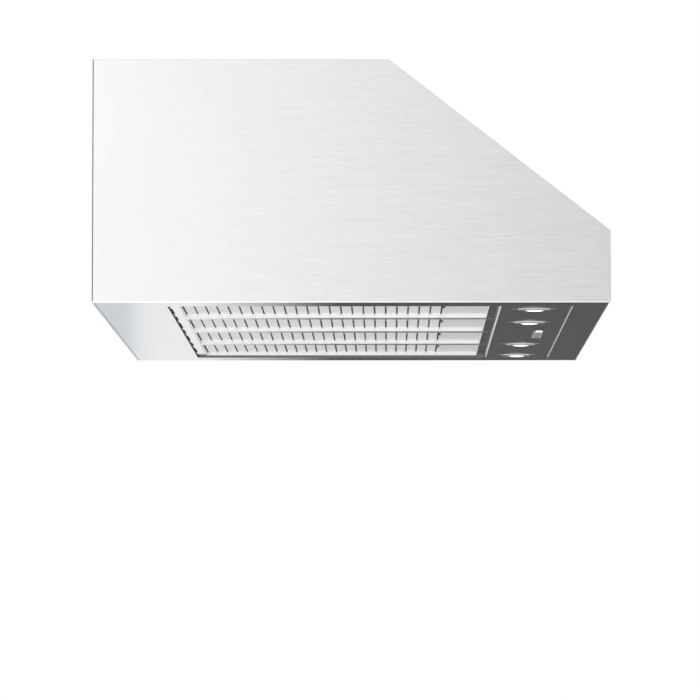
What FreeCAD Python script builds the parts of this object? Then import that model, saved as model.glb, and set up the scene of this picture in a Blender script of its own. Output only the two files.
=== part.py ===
import FreeCAD, Part
import math
import os
import re

import Sketcher

# Under cabinet range hood, in millimetres. +Z is up, the front faces -Y and the wall is on the +Y side.
# The origin is the centre of the duct outlet, in the plane of the top panel that meets the cabinet.

Vector = FreeCAD.Vector

DIMENSIONS = {
    # casing
    "hood_width": 908,
    "hood_depth": 559,
    "hood_height": 264,
    "top_depth": 320,
    "lip_height": 78,
    "duct_from_wall": 160,
    "casing_sheet": 1.2,
    "fold_radius": 2.5,
    "seam_flange": 15,
    # underside, from the wall forwards
    "rear_panel_depth": 79,
    "lamp_panel_depth": 79,
    "front_return": 38.5,
    "side_flange": 51,
    "bay_flange": 12,
    "filter_recess": 2.2,
    "panel_fold_radius": 2,
    "catch_rail_height": 16,
    # filters
    "filter_height": 14,
    "filter_side_gap": 1.8,
    "filter_rear_gap": 2.5,
    "filter_front_gap": 2.0,
    "filter_sheet": 1.0,
    "frame_flange": 9.4,
    "frame_top_flange": 8,
    "baffle_level": 4.8,
    "baffle_pitch": 12.4,
    "baffle_slot": 2.0,
    "baffle_sheet": 0.8,
    "baffle_depth": 5,
    "upper_baffle_width": 8,
    "upper_baffle_level": 6.6,
    "upper_baffle_depth": 5.8,
    "end_plate_length": 50,
    "notch_width": 40,
    "notch_depth": 4,
    "tab_width": 30,
    "tab_reach": 7,
    "tab_spread": 110,
    "tab_slot_height": 9,
    "latch_width": 30,
    "tongue_width": 20,
    "tongue_reach": 1.2,
    "latch_sheet": 1.2,
    "latch_clearance": 0.3,
    "latch_guide_start": 12,
    "latch_guide_length": 20,
    "latch_guide_hook": 2,
    # lamps and control strip
    "lamp_spacing_inner": 346,
    "lamp_spacing_outer": 718,
    "lamp_setback": 40.5,
    "lamp_trim_radius": 25,
    "lamp_hole_radius": 23.6,
    "trim_rim_height": 0.8,
    "trim_height": 0.3,
    "lens_drop": 2,
    "trim_sleeve_height": 10,
    "lamp_lens_radius": 16,
    "lamp_housing_height": 22,
    "lamp_housing_lift": 1.5,
    "lamp_can_height": 12,
    "lamp_fin": 1.4,
    "lamp_fin_pitch": 3,
    "control_setback": 25.5,
    "control_length": 125,
    "control_breadth": 12,
    "control_rim": 2,
    "control_lip": 0.8,
    "key_length": 12,
    "key_breadth": 6,
    "key_pitch": 17,
    "key_clearance": 0.3,
    "key_travel": 0.8,
    "display_length": 26,
    "board_lift": 10,
    "board_thickness": 1.6,
    "board_breadth": 36,
    "board_post_inset": 5,
    "board_post_radius": 3,
    # duct collar and damper
    "collar_radius": 102.5,
    "collar_sheet": 1,
    "collar_flange": 9.5,
    "socket_depth": 25,
    "damper_inset": 4.5,
    "damper_level": 36,
    "damper_tube_depth": 48,
    "damper_stop": 4,
    "flap_sheet": 0.8,
    "flap_clearance": 1,
    "rod_radius": 2.5,
    "rod_clearance": 0.06,
    "knuckle_wall": 1.1,
    "knuckle_length": 24,
    # blower
    "throat_margin": 11.5,
    "blower_gap": 4,
    "blower_side_margin": 4,
    "blower_chamfer": 45,
    "blower_flange": 18,
    "blower_sheet": 1,
    "wheel_from_duct": 14,
    "wheel_share": 0.5303,
    "wheel_radius": 60,
    "wheel_clearance": 6,
    "blade_depth": 9,
    "blade_sheet": 1,
    "blade_count": 36,
    "hub_radius": 12,
    "hub_length": 20,
    "inlet_inset": 6,
    "inlet_lip": 6,
    "scroll_gap": 8,
    "scroll_cutoff_drop": 62,
    "shaft_radius": 4,
    "motor_radius": 34,
    "motor_start": 20,
    "motor_boss": 6,
    "shaft_depth": 30,
    "shaft_clearance": 0.06,
    "bracket_sheet": 2,
    "bracket_margin": 12,
    "bracket_standoff": 6,
    "bracket_arm_width": 14,
    "screw_radius": 2.2,
    "screw_head_radius": 4.4,
    "screw_head_height": 2.6,
    "screw_clearance": 0.1,
    # electrical parts
    "box_centre": 350,
    "box_from_duct": 100,
    "box_length": 100,
    "box_breadth": 70,
    "box_depth": 50,
    "gland_bore": 6,
    "gland_radius": 10.8,
    "gland_length": 16,
    "driver_length": 110,
    "driver_breadth": 40,
    "driver_depth": 25,
    "capacitor_length": 50,
    "capacitor_breadth": 22,
    "capacitor_depth": 34,
    "cable_radius": 2.2,
    "cable_straight": 60,
    "cable_level": 80,
    "cable_forward": 105,
    # fixing holes
    "cabinet_hole_spread": 812.8,
    "cabinet_hole_pitch": 254,
    "wall_hole_spread": 406.4,
    "wall_hole_drop": 40,
    "fixing_hole_radius": 3.5,
}

FILTER_COUNT = 4
KEY_COUNT = 5

# Places that many pieces share, as spreadsheet expressions.
BACK = "duct_from_wall"
FRONT = "(duct_from_wall - hood_depth)"
BOTTOM = "(-hood_height)"
TOP_FRONT = "(duct_from_wall - top_depth)"
LIP_TOP = "(lip_height - hood_height)"
INSIDE = "(hood_width / 2 - casing_sheet)"
RETURN_END = f"({FRONT} + front_return)"
BAY_FRONT = f"({RETURN_END} + lamp_panel_depth)"
BAY_REAR = "(duct_from_wall - rear_panel_depth)"
BAY_SIDE = "(hood_width / 2 - side_flange)"
FILTER_LEVEL = f"({BOTTOM} + filter_recess)"
FILTER_REAR = f"({BAY_REAR} - filter_rear_gap)"
FILTER_FRONT = f"({BAY_FRONT} + filter_front_gap)"
FILTER_PITCH = f"(2 * {BAY_SIDE} / {FILTER_COUNT})"
FILTER_HALF = f"({FILTER_PITCH} / 2 - filter_side_gap / 2)"
END_PLATE_REAR = f"({FILTER_FRONT} + frame_flange + end_plate_length)"
LATCH_LEVEL = f"({FILTER_LEVEL} + baffle_level + filter_sheet + latch_clearance)"
LAMP_LINE = f"({RETURN_END} + lamp_setback)"
CONTROL_LINE = f"({RETURN_END} + control_setback)"
UNDER_TOP = "(-casing_sheet)"
DAMPER_RADIUS = "(collar_radius - damper_inset)"
BLOWER_HALF = "(collar_radius + throat_margin)"
WHEEL_LEVEL = "(-hood_height * wheel_share)"
BLOWER_FOOT = f"({FILTER_LEVEL} + filter_height + blower_gap)"
INLET_RADIUS = "(wheel_radius - inlet_inset)"
BRACKET_REACH = f"({INLET_RADIUS} + bracket_margin)"
BRACKET_LEVEL = f"({BLOWER_HALF} + bracket_standoff)"


# ---------------------------------------------------------------- document and drawing helpers

doc = FreeCAD.newDocument("range_hood")
dim = doc.addObject("Spreadsheet::Sheet", "dim")
for row, (alias, size) in enumerate(DIMENSIONS.items(), start=1):
    dim.set(f"A{row}", alias.replace("_", " "))
    dim.set(f"B{row}", str(size))
    dim.setAlias(f"B{row}", alias)
doc.recompute()

pieces = []


def bound(text):
    """The expression with every size written as a cell of the sheet."""
    return re.sub(r"[a-z]+(?:_[a-z]+)+", lambda found: f"dim.{found.group(0)}", str(text))


def value(text):
    """The expression's number, for first guesses and for shapes that no feature can make."""
    return float(dim.evalExpression(bound(text)))


def bind(feature, **properties):
    for name, text in properties.items():
        feature.setExpression(name.replace("__", "."), bound(text))


def keep(feature, label):
    """Give a finished piece its own name, and list it for export."""
    feature.Label = label
    pieces.append(feature)
    return feature


def new_body(label):
    body = doc.addObject("PartDesign::Body", label)
    body.AllowCompound = True
    return keep(body, label)


def place_body(body, x="0", y="0", z="0"):
    body.setExpression("Placement.Base.x", bound(x))
    body.setExpression("Placement.Base.y", bound(y))
    body.setExpression("Placement.Base.z", bound(z))


def new_sketch(body, plane, level="0"):
    """A sketch on one of the body's own origin planes, moved to a level along that plane's axis."""
    sketch = body.newObject("Sketcher::SketchObject", "outline")
    support = next(item for item in body.Origin.OriginFeatures if item.Role == f"{plane}_Plane")
    sketch.AttachmentSupport = [(support, "")]
    sketch.MapMode = "FlatFace"
    sign = "-1" if plane == "XZ" else "1"
    sketch.setExpression("AttachmentOffset.Base.z", bound(f"{sign} * ({level})"))
    return sketch


def pin(sketch, geometry, point, across, along):
    """Tie one point of a sketch to the origin by two driven distances."""
    for kind, text in (("DistanceX", across), ("DistanceY", along)):
        tie = Sketcher.Constraint(kind, -1, 1, geometry, point, value(text))
        index = sketch.addConstraint(tie)
        sketch.setExpression(f"Constraints[{index}]", bound(text))


def draw_polygon(sketch, corners):
    first = sketch.GeometryCount
    count = len(corners)
    spots = [Vector(value(across), value(along), 0) for across, along in corners]
    for index in range(count):
        sketch.addGeometry(Part.LineSegment(spots[index], spots[(index + 1) % count]))
    for index in range(count):
        following = first + (index + 1) % count
        sketch.addConstraint(Sketcher.Constraint("Coincident", first + index, 2, following, 1))
    for index, (across, along) in enumerate(corners):
        pin(sketch, first + index, 1, across, along)


def draw_box(sketch, left, right, low, high):
    draw_polygon(sketch, [(left, low), (right, low), (right, high), (left, high)])


def draw_circle(sketch, across, along, radius):
    centre = Vector(value(across), value(along), 0)
    index = sketch.addGeometry(Part.Circle(centre, Vector(0, 0, 1), value(radius)))
    pin(sketch, index, 3, across, along)
    tie = sketch.addConstraint(Sketcher.Constraint("Radius", index, value(radius)))
    sketch.setExpression(f"Constraints[{tie}]", bound(radius))


def pad(body, sketch, length):
    """Raise a sketch towards the positive end of its plane's axis."""
    feature = body.newObject("PartDesign::Pad", "pad")
    feature.Profile = sketch
    feature.Reversed = sketch.AttachmentSupport[0][0].Role == "XZ_Plane"
    bind(feature, Length=length)
    sketch.Visibility = False
    return feature


def pocket(body, sketch, length):
    """Cut a sketch towards the positive end of its plane's axis, and make sure that it cuts."""
    doc.recompute()
    before = body.Shape.Volume
    feature = body.newObject("PartDesign::Pocket", "pocket")
    feature.Profile = sketch
    feature.Reversed = sketch.AttachmentSupport[0][0].Role != "XZ_Plane"
    bind(feature, Length=length)
    doc.recompute()
    if body.Shape.Volume >= before - 1e-6:
        raise RuntimeError(f"{body.Label}: a pocket cut nothing")
    return feature


def slab(body, plane, level, length, boxes=(), polygons=(), circles=()):
    """Pad boxes, polygons and circles drawn together; those inside another outline are its holes."""
    sketch = new_sketch(body, plane, level)
    for box in boxes:
        draw_box(sketch, *box)
    for corners in polygons:
        draw_polygon(sketch, corners)
    for circle in circles:
        draw_circle(sketch, *circle)
    return pad(body, sketch, length)


def revolve(body, profile):
    """Turn a closed profile of (radius, height) corners about the body's Z axis."""
    sketch = new_sketch(body, "XZ")
    draw_polygon(sketch, profile)
    feature = body.newObject("PartDesign::Revolution", "turned")
    feature.Profile = sketch
    feature.ReferenceAxis = (sketch, ["V_Axis"])
    feature.Angle = 360
    return feature


def round_edges(body, radius, wanted):
    """Fillet the edges of a body that a test picks out."""
    doc.recompute()
    names = []
    for index, edge in enumerate(body.Shape.Edges, start=1):
        if wanted(edge):
            names.append(f"Edge{index}")
    base = body.Tip
    fillet = body.newObject("PartDesign::Fillet", "round")
    fillet.Base = (base, names)
    bind(fillet, Radius=radius)
    doc.recompute()
    return fillet


def fold_test(corners):
    """Picks the edges that run along X through the given (y, z) corners of a folded profile."""
    spots = [(value(y), value(z)) for y, z in corners]

    def wanted(edge):
        middle = edge.CenterOfMass
        if abs(edge.tangentAt(edge.FirstParameter).x) < 0.999:
            return False
        return any(math.hypot(middle.y - y, middle.z - z) < 0.01 for y, z in spots)

    return wanted


def mirrored(sign, low, high):
    """A span on the left (sign -1) or the right (sign 1) of the middle, lower end first."""
    if sign > 0:
        return f"({low})", f"({high})"
    return f"-({high})", f"-({low})"


# ---------------------------------------------------------------- casing


def side_panel(label, sign):
    """Flat side with welding flanges folded in along the top and the back."""
    body = new_body(label)
    outline = [(BACK, BOTTOM), (BACK, "0"), (TOP_FRONT, "0"), (FRONT, LIP_TOP), (FRONT, BOTTOM)]
    outer = mirrored(sign, INSIDE, "hood_width / 2")
    slab(body, "YZ", outer[0], "casing_sheet", polygons=[outline])
    left, right = mirrored(sign, f"{INSIDE} - seam_flange", INSIDE)
    top_strip = (left, right, f"{TOP_FRONT} + 2 * seam_flange", f"{BACK} - 2 * casing_sheet")
    slab(body, "XY", "-2 * casing_sheet", "casing_sheet", boxes=[top_strip])
    rear_strip = (left, right, f"{BOTTOM} + 2 * seam_flange", "-casing_sheet")
    slab(body, "XZ", f"{BACK} - 2 * casing_sheet", "casing_sheet", boxes=[rear_strip])


def front_canopy():
    """Sloping front, upright lip and the return under it, folded from one sheet."""
    body = new_body("front_canopy")
    run = "(hood_depth - top_depth)"
    drop = "(hood_height - lip_height - casing_sheet)"
    upper_miter = f"casing_sheet * tan(atan({drop} / {run}) / 2)"
    lower_miter = f"casing_sheet * tan(atan({run} / {drop}) / 2)"
    top_end = f"{TOP_FRONT} + seam_flange"
    outside = [
        (top_end, "-casing_sheet"),
        (TOP_FRONT, "-casing_sheet"),
        (FRONT, LIP_TOP),
        (FRONT, BOTTOM),
        (RETURN_END, BOTTOM),
        (RETURN_END, f"{BOTTOM} + bay_flange"),
    ]
    inside = [
        (f"{RETURN_END} - casing_sheet", f"{BOTTOM} + bay_flange"),
        (f"{RETURN_END} - casing_sheet", f"{BOTTOM} + casing_sheet"),
        (f"{FRONT} + casing_sheet", f"{BOTTOM} + casing_sheet"),
        (f"{FRONT} + casing_sheet", f"{LIP_TOP} - {lower_miter}"),
        (f"{TOP_FRONT} + {upper_miter}", "-2 * casing_sheet"),
        (top_end, "-2 * casing_sheet"),
    ]
    slab(body, "YZ", f"-{INSIDE}", f"2 * {INSIDE}", polygons=[outside + inside])
    round_edges(body, "fold_radius", fold_test(outside[1:4]))
    round_edges(body, "fold_radius - casing_sheet", fold_test(inside[2:5]))


def blower_screw_places():
    """Where the blower's top flanges are screwed to the top panel."""
    places = []
    for sign in (-1, 1):
        for along in ("-70", "70"):
            places.append((f"{sign} * ({BLOWER_HALF} + blower_flange / 2)", along))
    return places


def top_panel():
    body = new_body("top_panel")
    holes = [("0", "0", "collar_radius")]
    for sign in (-1, 1):
        for end in (-1, 1):
            spot = (f"{sign} * cabinet_hole_spread / 2", f"{end} * cabinet_hole_pitch / 2")
            holes.append((*spot, "fixing_hole_radius"))
    holes.append(("box_centre", "box_from_duct", "gland_radius + screw_clearance"))
    for across, along in blower_screw_places():
        holes.append((across, along, "screw_radius + screw_clearance"))
    sheet = (f"-{INSIDE}", INSIDE, TOP_FRONT, BACK)
    slab(body, "XY", UNDER_TOP, "casing_sheet", boxes=[sheet], circles=holes)


def back_panel():
    body = new_body("back_panel")
    sheet = (f"-{INSIDE}", INSIDE, BOTTOM, UNDER_TOP)
    holes = []
    for sign in (-1, 1):
        holes.append((f"{sign} * wall_hole_spread / 2", "-wall_hole_drop", "fixing_hole_radius"))
    slab(body, "XZ", f"{BACK} - casing_sheet", "casing_sheet", boxes=[sheet], circles=holes)


def filter_centre(index):
    return f"(({index} - {(FILTER_COUNT - 1) / 2}) * {FILTER_PITCH})"


def tab_places():
    """The X places of the two rear tabs of every filter."""
    places = []
    for index in range(FILTER_COUNT):
        for sign in (-1, 1):
            places.append(f"({filter_centre(index)} + {sign} * tab_spread / 2)")
    return places


def underside_pan():
    """Rear and side strips of the underside round the filter bay, with upturned flanges."""
    body = new_body("underside_pan")
    rear_inside = f"{BACK} - casing_sheet"
    strip = [
        (f"-{INSIDE}", RETURN_END),
        (f"-{BAY_SIDE}", RETURN_END),
        (f"-{BAY_SIDE}", BAY_REAR),
        (BAY_SIDE, BAY_REAR),
        (BAY_SIDE, RETURN_END),
        (INSIDE, RETURN_END),
        (INSIDE, rear_inside),
        (f"-{INSIDE}", rear_inside),
    ]
    slab(body, "XY", BOTTOM, "casing_sheet", polygons=[strip])
    rim = []
    for sign in (-1, 1):
        wall = mirrored(sign, f"{INSIDE} - casing_sheet", INSIDE)
        rim.append((*wall, RETURN_END, f"{BACK} - 2 * casing_sheet"))
    rim.append((f"-{INSIDE}", INSIDE, f"{BACK} - 2 * casing_sheet", rear_inside))
    for walls in (rim[:2], rim[2:]):
        slab(body, "XY", BOTTOM, "seam_flange", boxes=walls)
    bay_walls = []
    for sign in (-1, 1):
        wall = mirrored(sign, BAY_SIDE, f"{BAY_SIDE} + casing_sheet")
        bay_walls.append((*wall, BAY_FRONT, BAY_REAR))
    slab(body, "XY", BOTTOM, "bay_flange", boxes=bay_walls)
    rear_wall = (f"-{BAY_SIDE} - casing_sheet", f"{BAY_SIDE} + casing_sheet", BAY_REAR,
                 f"{BAY_REAR} + casing_sheet")
    slab(body, "XY", BOTTOM, "bay_flange", boxes=[rear_wall])
    slots = new_sketch(body, "XZ", f"{BAY_REAR} - 1")
    slot_half = "(tab_width / 2 + filter_side_gap / 2)"
    slot_low = f"{BOTTOM} + casing_sheet"
    for place in tab_places():
        draw_box(slots, f"{place} - {slot_half}", f"{place} + {slot_half}", slot_low,
                 f"{slot_low} + tab_slot_height")
    pocket(body, slots, "casing_sheet + 2")


def lamp_places():
    """The X places of the lamps, left to right."""
    halves = ("lamp_spacing_outer / 2", "lamp_spacing_inner / 2")
    return [f"-{halves[0]}", f"-{halves[1]}", halves[1], halves[0]]


def lamp_panel():
    """Front strip of the underside: lamps, controls and the rail that the filter latches meet."""
    body = new_body("lamp_panel")
    sheet = (f"-{BAY_SIDE}", BAY_SIDE, RETURN_END, BAY_FRONT)
    cutout = (
        "-control_length / 2 + control_rim",
        "control_length / 2 - control_rim",
        f"{CONTROL_LINE} - control_breadth / 2 + control_rim",
        f"{CONTROL_LINE} + control_breadth / 2 - control_rim",
    )
    holes = [(place, LAMP_LINE, "lamp_hole_radius") for place in lamp_places()]
    slab(body, "XY", BOTTOM, "casing_sheet", boxes=[sheet, cutout], circles=holes)
    rail = (f"-{BAY_SIDE}", BAY_SIDE, f"{BAY_FRONT} - casing_sheet", BAY_FRONT)
    slab(body, "XY", BOTTOM, "catch_rail_height", boxes=[rail])
    front_seam = (f"-{BAY_SIDE}", BAY_SIDE, RETURN_END, f"{RETURN_END} + casing_sheet")
    slab(body, "XY", BOTTOM, "bay_flange", boxes=[front_seam])
    folds = [(BAY_FRONT, BOTTOM), (RETURN_END, BOTTOM)]
    round_edges(body, "panel_fold_radius", fold_test(folds))
    slots = new_sketch(body, "XZ", f"{BAY_FRONT} - casing_sheet - 1")
    for index in range(FILTER_COUNT):
        centre = filter_centre(index)
        draw_box(slots, f"{centre} - tongue_width / 2 - 1", f"{centre} + tongue_width / 2 + 1",
                 f"{LATCH_LEVEL} - 1", f"{LATCH_LEVEL} + latch_sheet + 1")
    pocket(body, slots, "casing_sheet + 2")


# ---------------------------------------------------------------- grease filters


def filter_frame(label, centre):
    """Rolled frame: bottom flange with an upturned lip, wall and top flange, and two rear tabs."""
    body = new_body(label)
    left = f"({centre} - {FILTER_HALF})"
    right = f"({centre} + {FILTER_HALF})"
    rings = (
        (FILTER_LEVEL, "filter_sheet", "0", "frame_flange"),
        (FILTER_LEVEL, "filter_height", "0", "filter_sheet"),
        (FILTER_LEVEL, "baffle_level", "(frame_flange - filter_sheet)", "frame_flange"),
        (f"{FILTER_LEVEL} + filter_height - filter_sheet", "filter_sheet", "0", "frame_top_flange"),
    )
    for level, height, *insets in rings:
        edges = [(f"{left} + {inset}", f"{right} - {inset}", f"{FILTER_FRONT} + {inset}",
                  f"{FILTER_REAR} - {inset}") for inset in insets]
        slab(body, "XY", level, height, boxes=edges)
    tabs = []
    for sign in (-1, 1):
        place = f"({centre} + {sign} * tab_spread / 2)"
        tabs.append((f"{place} - tab_width / 2", f"{place} + tab_width / 2",
                     f"{FILTER_REAR} - filter_sheet", f"{FILTER_REAR} + tab_reach"))
    slab(body, "XY", FILTER_LEVEL, "filter_sheet", boxes=tabs)
    slot = new_sketch(body, "XZ", f"{FILTER_FRONT} - 1")
    draw_box(slot, f"{centre} - tongue_width / 2 - latch_clearance",
             f"{centre} + tongue_width / 2 + latch_clearance",
             f"{LATCH_LEVEL} - latch_clearance", f"{LATCH_LEVEL} + latch_sheet + latch_clearance")
    pocket(body, slot, "filter_sheet + 2")


def filter_baffles(label, centre):
    """Two interleaved rows of channels across the filter, evenly spaced, each channel on its own."""
    body = new_body(label)
    span = f"({FILTER_REAR} - frame_flange - baffle_slot - {END_PLATE_REAR})"
    count = f"floor({span} / baffle_pitch)"
    pitch = f"({span} / {count})"
    slot_rear = f"({FILTER_REAR} - frame_flange)"
    rear = f"({slot_rear} - baffle_slot)"
    front = f"({slot_rear} - {pitch})"
    low = f"({FILTER_LEVEL} + baffle_level)"
    high = f"({low} + baffle_depth)"
    lower = [
        (rear, low), (rear, high), (f"{rear} - baffle_sheet", high),
        (f"{rear} - baffle_sheet", f"{low} + baffle_sheet"),
        (f"{front} + baffle_sheet", f"{low} + baffle_sheet"),
        (f"{front} + baffle_sheet", high), (front, high), (front, low),
    ]
    middle = f"({rear} + baffle_slot / 2)"
    upper_rear = f"({middle} + upper_baffle_width / 2)"
    upper_front = f"({middle} - upper_baffle_width / 2)"
    base = f"({FILTER_LEVEL} + upper_baffle_level)"
    crest = f"({base} + upper_baffle_depth)"
    upper = [
        (upper_rear, base), (upper_rear, crest), (upper_front, crest), (upper_front, base),
        (f"{upper_front} + baffle_sheet", base),
        (f"{upper_front} + baffle_sheet", f"{crest} - baffle_sheet"),
        (f"{upper_rear} - baffle_sheet", f"{crest} - baffle_sheet"),
        (f"{upper_rear} - baffle_sheet", base),
    ]
    start = f"{centre} - {FILTER_HALF} + filter_sheet"
    length = f"2 * ({FILTER_HALF} - filter_sheet)"
    channel = slab(body, "YZ", start, length, polygons=[lower, upper])
    doc.recompute()
    row = body.newObject("PartDesign::LinearPattern", "row")
    row.Originals = [channel]
    row.Direction = (channel.Profile[0], ["H_Axis"])
    row.Reversed = True
    bind(row, Length=f"{pitch} * ({count} - 1)", Occurrences=count)
    body.Tip = row


def filter_end_plate(label, centre):
    """Flat plate at the filter's front end, with the finger notch and two guides for the latch."""
    body = new_body(label)
    level = f"({FILTER_LEVEL} + baffle_level)"
    sheet = (f"{centre} - {FILTER_HALF} + filter_sheet", f"{centre} + {FILTER_HALF} - filter_sheet",
             f"{FILTER_FRONT} + filter_sheet", END_PLATE_REAR)
    slab(body, "XY", level, "filter_sheet", boxes=[sheet])
    top = f"({level} + filter_sheet)"
    guide_top = f"({LATCH_LEVEL} + latch_sheet + latch_clearance + filter_sheet)"
    guides = []
    for sign in (-1, 1):
        inner = f"({centre} + {sign} * (latch_width / 2 + latch_clearance))"
        outer = f"({inner} + {sign} * filter_sheet)"
        hook = f"({inner} - {sign} * latch_guide_hook)"
        under = f"{guide_top} - filter_sheet"
        guides.append([(inner, top), (outer, top), (outer, guide_top), (hook, guide_top),
                       (hook, under), (inner, under)])
    slab(body, "XZ", f"{FILTER_FRONT} + latch_guide_start", "latch_guide_length", polygons=guides)
    notch = new_sketch(body, "XY", f"{level} - 1")
    radius = "((notch_width ^ 2 / 4 + notch_depth ^ 2) / (2 * notch_depth))"
    draw_circle(notch, centre, f"{END_PLATE_REAR} + {radius} - notch_depth", radius)
    pocket(body, notch, "filter_sheet + 2")


def filter_latch(label, centre):
    """Sliding latch: a strip with a tongue through the frame and a finger lip in the notch."""
    body = new_body(label)
    lip_front = f"({END_PLATE_REAR} - notch_depth + latch_clearance)"
    plate_front = f"({FILTER_FRONT} + filter_sheet + latch_clearance)"
    half = "latch_width / 2"
    strip = [
        (f"{centre} - {half}", plate_front),
        (f"{centre} - tongue_width / 2", plate_front),
        (f"{centre} - tongue_width / 2", f"{FILTER_FRONT} - tongue_reach"),
        (f"{centre} + tongue_width / 2", f"{FILTER_FRONT} - tongue_reach"),
        (f"{centre} + tongue_width / 2", plate_front),
        (f"{centre} + {half}", plate_front),
        (f"{centre} + {half}", f"{lip_front} + latch_sheet"),
        (f"{centre} - {half}", f"{lip_front} + latch_sheet"),
    ]
    slab(body, "XY", LATCH_LEVEL, "latch_sheet", polygons=[strip])
    lip = (f"{centre} - notch_depth", f"{centre} + notch_depth", lip_front,
           f"{lip_front} + latch_sheet")
    low = f"({FILTER_LEVEL} + baffle_level)"
    slab(body, "XY", low, f"{LATCH_LEVEL} - {low}", boxes=[lip])


# ---------------------------------------------------------------- lamps and controls


def lamp_trim(label, place):
    """Flat ring with a raised rim round the lens and a sleeve through the panel."""
    body = new_body(label)
    hole = "lamp_lens_radius"
    sleeve = "(lamp_hole_radius - 0.2)"
    profile = [
        (hole, "-trim_rim_height"), (f"{hole} + 1.4", "-trim_rim_height"),
        (f"{hole} + 3", "-trim_height"), ("lamp_trim_radius - 1", "-trim_height"),
        ("lamp_trim_radius", "0"), (sleeve, "0"), (sleeve, "trim_sleeve_height"),
        (f"{sleeve} - 1", "trim_sleeve_height"), (f"{sleeve} - 1", "0"), (hole, "0"),
    ]
    revolve(body, profile)
    place_body(body, place, LAMP_LINE, BOTTOM)


def lamp_lens(label, place):
    """Shallow dome that stands below its trim."""
    body = new_body(label)
    edge = "(trim_rim_height / 2)"
    profile = [
        ("0", "-lens_drop"), ("lamp_lens_radius / 2", "0.3 - lens_drop"),
        ("lamp_lens_radius - 2", f"-{edge} - 0.5"), ("lamp_lens_radius", f"-{edge}"),
        ("lamp_lens_radius", "lamp_housing_lift"), ("0", "lamp_housing_lift"),
    ]
    revolve(body, profile)
    place_body(body, place, LAMP_LINE, BOTTOM)


def lamp_housings():
    """Finned cans above the lamps, four alike in one node."""
    body = new_body("lamp_housings")
    base = f"({BOTTOM} + lamp_housing_lift)"
    wide = "(lamp_hole_radius - 1.4)"
    layers = [("0", "lamp_housing_height", "(lamp_hole_radius - 8)"), ("0", "lamp_can_height", wide)]
    for fin in range(3):
        lift = f"(lamp_housing_height - lamp_fin - {fin} * lamp_fin_pitch)"
        layers.append((lift, "lamp_fin", wide))
    for lift, height, radius in layers:
        discs = [(place, LAMP_LINE, radius) for place in lamp_places()]
        slab(body, "XY", f"{base} + {lift}", height, circles=discs)


def display_span():
    start = "(-control_length / 2 + 2 * control_rim)"
    return start, f"({start} + display_length)"


def key_centre(index):
    return f"({display_span()[1]} + key_pitch * ({index} + 0.5))"


def control_window(left, right):
    return (left, right, f"{CONTROL_LINE} - key_breadth / 2 - key_clearance",
            f"{CONTROL_LINE} + key_breadth / 2 + key_clearance")


def control_bezel():
    """Frame round the keys and the display, set through the lamp panel from below."""
    body = new_body("control_bezel")
    windows = [control_window(*display_span())]
    for index in range(KEY_COUNT):
        half = "(key_length / 2 + key_clearance)"
        windows.append(control_window(f"{key_centre(index)} - {half}", f"{key_centre(index)} + {half}"))
    layers = (
        (f"{BOTTOM} - control_lip", "control_lip", "0"),
        (BOTTOM, "casing_sheet + 0.8", "control_rim"),
    )
    for level, height, inset in layers:
        edge = (f"-control_length / 2 + {inset}", f"control_length / 2 - {inset}",
                f"{CONTROL_LINE} - control_breadth / 2 + {inset}",
                f"{CONTROL_LINE} + control_breadth / 2 - {inset}")
        slab(body, "XY", level, height, boxes=[edge, *windows])


def display_window():
    body = new_body("display_window")
    low = f"({BOTTOM} - control_lip + 0.2)"
    slab(body, "XY", low, "control_lip + casing_sheet + 2", boxes=[control_window(*display_span())])


def control_key(label, index):
    """Key cap in its window, with a collar above the bezel and a stem under the switch."""
    body = new_body(label)
    centre = key_centre(index)
    collar_level = f"({BOTTOM} + casing_sheet + 0.8)"
    low = f"({BOTTOM} - control_lip - 0.6)"

    def spread(length, breadth):
        return (f"{centre} - {length} / 2", f"{centre} + {length} / 2",
                f"{CONTROL_LINE} - {breadth} / 2", f"{CONTROL_LINE} + {breadth} / 2")

    slab(body, "XY", low, f"{collar_level} - {low}", boxes=[spread("key_length", "key_breadth")])
    collar = spread("(key_length + 2)", "(key_breadth + 1.6)")
    slab(body, "XY", collar_level, "1", boxes=[collar])
    stem_top = f"({BOTTOM} + casing_sheet + board_lift - key_travel - key_clearance)"
    slab(body, "XY", f"{collar_level} + 1", f"{stem_top} - {collar_level} - 1",
         boxes=[spread("4", "4")])


def control_board():
    """Circuit board over the keys, on four posts."""
    body = new_body("control_board")
    level = f"({BOTTOM} + casing_sheet + board_lift)"
    half = "control_length / 2"
    edge = (f"-{half}", half, f"{CONTROL_LINE} - board_breadth / 2",
            f"{CONTROL_LINE} + board_breadth / 2")
    slab(body, "XY", level, "board_thickness", boxes=[edge])
    posts = []
    for sign in (-1, 1):
        for end in (-1, 1):
            posts.append((f"{sign} * ({half} - board_post_inset)",
                          f"{CONTROL_LINE} + {end} * (board_breadth / 2 - board_post_inset)",
                          "board_post_radius"))
    slab(body, "XY", f"{level} - board_lift", "board_lift", circles=posts)


# ---------------------------------------------------------------- duct collar and damper


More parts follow.
